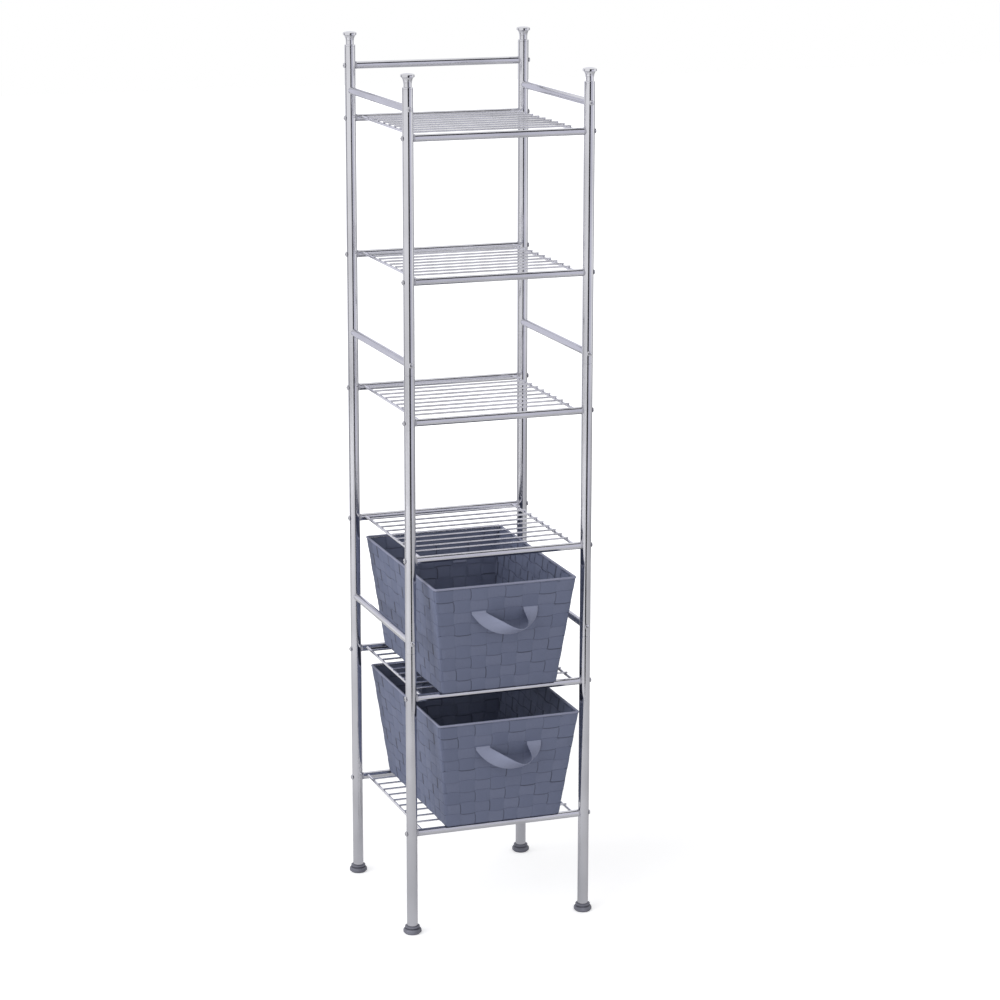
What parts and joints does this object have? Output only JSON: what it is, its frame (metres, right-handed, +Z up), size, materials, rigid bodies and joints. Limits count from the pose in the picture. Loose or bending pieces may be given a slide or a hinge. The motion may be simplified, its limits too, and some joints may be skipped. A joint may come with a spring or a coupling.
{
  "type": "open shelf tower",
  "caption": "Tall open tower of wire shelves on jointed chrome tube posts with levelling feet and two pull-out woven bins, for a bathroom corner.",
  "frame": {"origin": "on the floor, at the centre of the footprint", "axes": "+X to the right, +Y to the back, +Z up; the bins pull out towards -Y"},
  "size_m": [0.352, 0.442, 1.54],
  "materials": {
    "post_tube": "bright chrome plate",
    "shelf_tube": "bright chrome plate",
    "rail_tube": "bright chrome plate",
    "shelf_wire": "chrome plate over welded wire",
    "finial": "bright chrome plate",
    "bolt": "bright chrome plate",
    "tube_insert": "smooth moulded",
    "coupler": "turned",
    "leveller_plastic": "moulded",
    "foot_pad": "moulded, slightly rough",
    "stud": "zinc plated thread",
    "bin_weave": "wide woven strapping, satin",
    "bin_rim": "folded strapping, satin",
    "bin_strap": "flat strapping, satin",
    "rim_wire": "plain wire"
  },
  "bodies": {
    "frame": {"front_left_post_lower": "post_tube", "front_left_post_middle": "post_tube", "front_left_post_upper": "post_tube", "front_right_post_lower": "post_tube", "front_right_post_middle": "post_tube", "front_right_post_upper": "post_tube", "back_left_post_lower": "post_tube", "back_left_post_middle": "post_tube", "back_left_post_upper": "post_tube", "back_right_post_lower": "post_tube", "back_right_post_middle": "post_tube", "back_right_post_upper": "post_tube", "lower_couplers": "coupler", "upper_couplers": "coupler", "front_left_finial": "finial", "front_right_finial": "finial", "back_left_finial": "finial", "back_right_finial": "finial", "leveller_inserts": "leveller_plastic", "shelf_1_tubes": "shelf_tube", "shelf_2_tubes": "shelf_tube", "shelf_3_tubes": "shelf_tube", "shelf_4_tubes": "shelf_tube", "shelf_5_tubes": "shelf_tube", "shelf_6_tubes": "shelf_tube", "shelf_1_wires": "shelf_wire", "shelf_2_wires": "shelf_wire", "shelf_3_wires": "shelf_wire", "shelf_4_wires": "shelf_wire", "shelf_5_wires": "shelf_wire", "shelf_6_wires": "shelf_wire", "left_rail_low": "rail_tube", "left_rail_middle": "rail_tube", "left_rail_top": "rail_tube", "right_rail_low": "rail_tube", "right_rail_middle": "rail_tube", "right_rail_top": "rail_tube", "back_rail": "rail_tube", "shelf_bolts": "bolt", "side_rail_bolts": "bolt", "back_rail_bolts": "bolt", "shelf_inserts": "tube_insert", "side_rail_inserts": "tube_insert", "back_rail_inserts": "tube_insert"},
    "front_left_leveller": {"front_left_foot": "foot_pad", "front_left_stud": "stud"},
    "front_right_leveller": {"front_right_foot": "foot_pad", "front_right_stud": "stud"},
    "back_left_leveller": {"back_left_foot": "foot_pad", "back_left_stud": "stud"},
    "back_right_leveller": {"back_right_foot": "foot_pad", "back_right_stud": "stud"},
    "lower_bin": {"lower_bin_shell": "bin_weave", "lower_bin_rim": "bin_rim", "lower_bin_rim_wire": "rim_wire", "lower_bin_handles": "bin_strap"},
    "upper_bin": {"upper_bin_shell": "bin_weave", "upper_bin_rim": "bin_rim", "upper_bin_rim_wire": "rim_wire", "upper_bin_handles": "bin_strap"}
  },
  "joints": [
    {"name": "front_left_level", "type": "slide", "parent": "frame", "child": "front_left_leveller", "axis": [0, 0, -1], "range_m": [0, 0.01]},
    {"name": "front_right_level", "type": "slide", "parent": "frame", "child": "front_right_leveller", "axis": [0, 0, -1], "range_m": [0, 0.01]},
    {"name": "back_left_level", "type": "slide", "parent": "frame", "child": "back_left_leveller", "axis": [0, 0, -1], "range_m": [0, 0.01]},
    {"name": "back_right_level", "type": "slide", "parent": "frame", "child": "back_right_leveller", "axis": [0, 0, -1], "range_m": [0, 0.01]},
    {"name": "lower_bin_pull", "type": "slide", "parent": "frame", "child": "lower_bin", "axis": [0, -1, 0], "range_m": [0, 0.3]},
    {"name": "upper_bin_pull", "type": "slide", "parent": "frame", "child": "upper_bin", "axis": [0, -1, 0], "range_m": [0, 0.3]}
  ]
}
